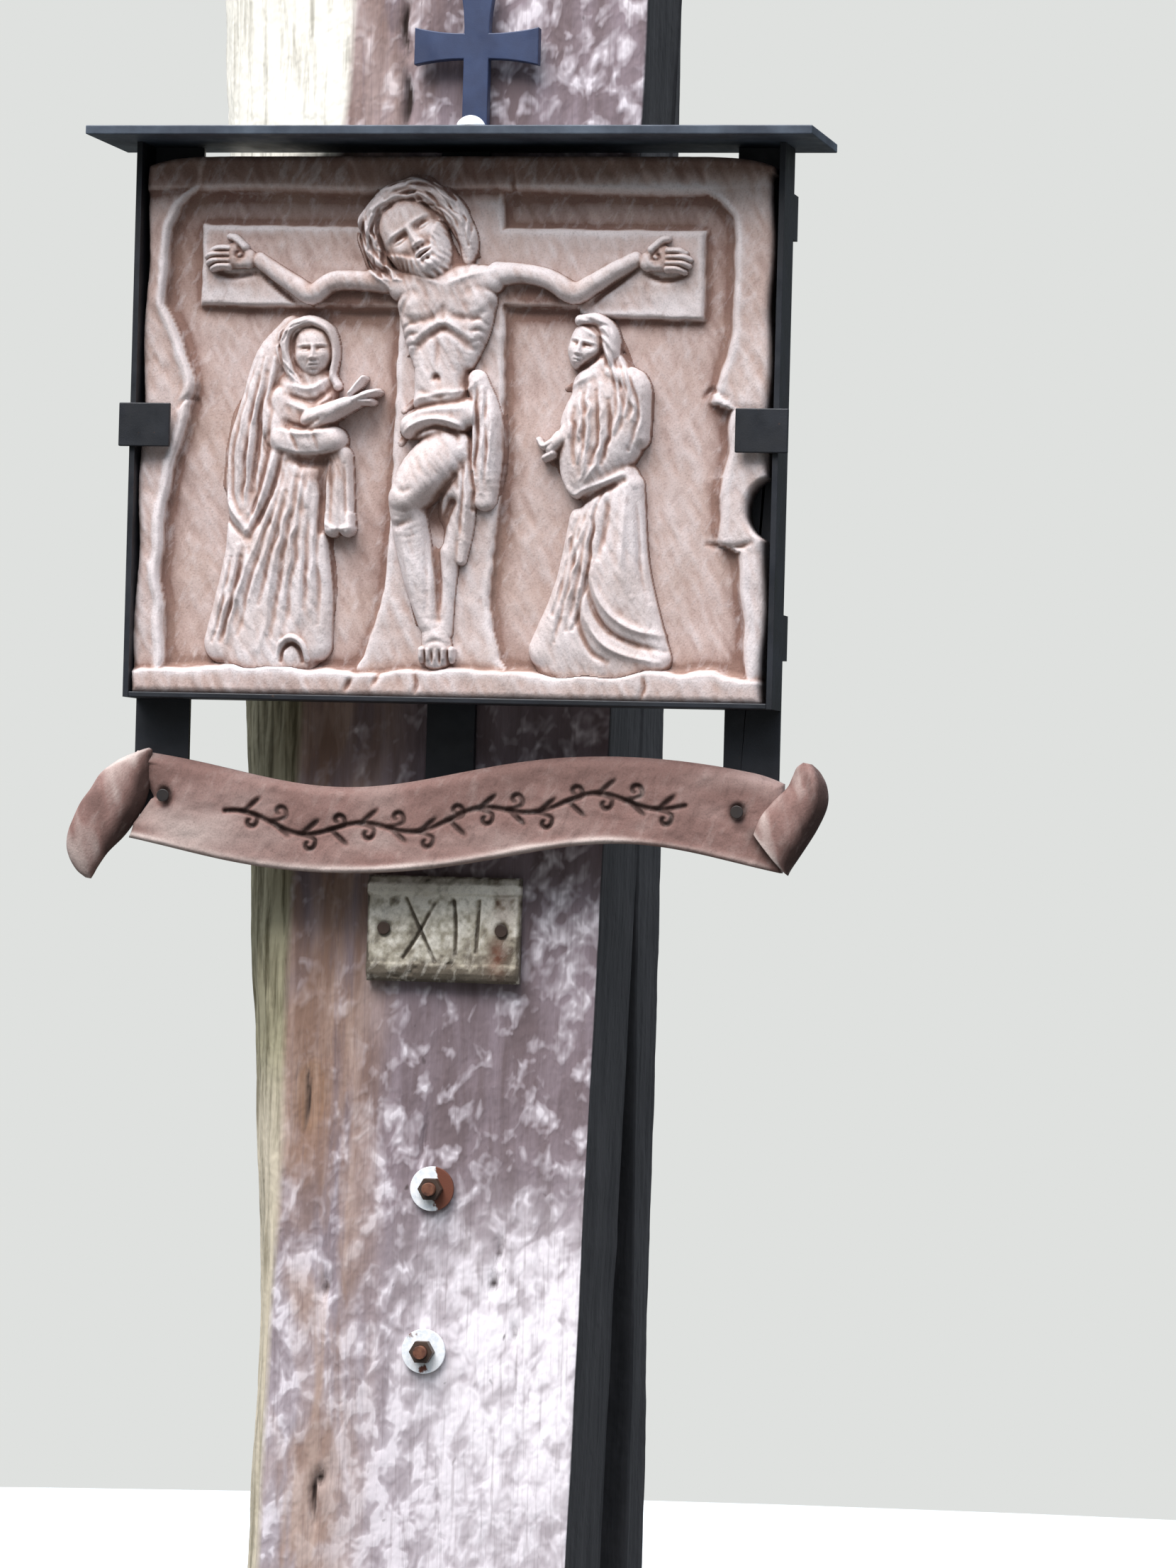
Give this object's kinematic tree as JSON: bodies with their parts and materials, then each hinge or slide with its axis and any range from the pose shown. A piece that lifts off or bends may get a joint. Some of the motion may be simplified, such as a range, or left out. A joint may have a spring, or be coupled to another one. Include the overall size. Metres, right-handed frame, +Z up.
{
  "type": "wayside shrine",
  "caption": "Wayside shrine: a fired-clay Calvary relief in a roofed steel frame with a small cross, on a hewn timber post with a clay banner and number plate.",
  "frame": {"origin": "on the ground, in the middle of the hewn front face's width and of the front timber's depth", "axes": "+Z up along the post, -Y towards the viewer of the relief, +X to that viewer's right"},
  "size_m": [0.6866, 0.4935, 2.45],
  "materials": {
    "weathered_timber": "weathered",
    "rusty_bolt": "rusty",
    "zinc": "galvanised",
    "dark_steel": "dull",
    "painted_steel": "matt",
    "cross_paint": "matt",
    "relief_clay": "unglazed",
    "banner_clay": "unglazed",
    "plate_clay": "unglazed"
  },
  "bodies": {
    "root": {"post_front": "weathered_timber", "post_rear": "weathered_timber", "bolt_lower": "rusty_bolt", "bolt_upper": "rusty_bolt", "washer_lower_front": "zinc", "washer_upper_front": "zinc", "washer_lower_rear": "zinc", "washer_upper_rear": "zinc", "nut_lower_front": "dark_steel", "nut_upper_front": "dark_steel", "nut_lower_rear": "dark_steel", "nut_upper_rear": "dark_steel", "middle_bar": "painted_steel", "rail_lower": "painted_steel", "rail_upper": "painted_steel", "bar_screw_1": "zinc", "bar_screw_2": "zinc", "bar_screw_3": "zinc", "angle_left": "painted_steel", "angle_right": "painted_steel", "relief_ledge": "painted_steel", "clip_left": "painted_steel", "clip_right": "painted_steel", "roof_plate": "painted_steel", "roof_stud": "zinc", "roof_cross": "cross_paint", "relief_slab": "relief_clay", "figure_centre": "relief_clay", "figure_left": "relief_clay", "figure_right": "relief_clay", "banner": "banner_clay", "banner_tongue": "banner_clay", "banner_lobe": "banner_clay", "banner_screw_left": "dark_steel", "banner_screw_right": "dark_steel", "number_plate": "plate_clay", "plate_screw_left": "dark_steel", "plate_screw_right": "dark_steel"}
  },
  "joints": []
}
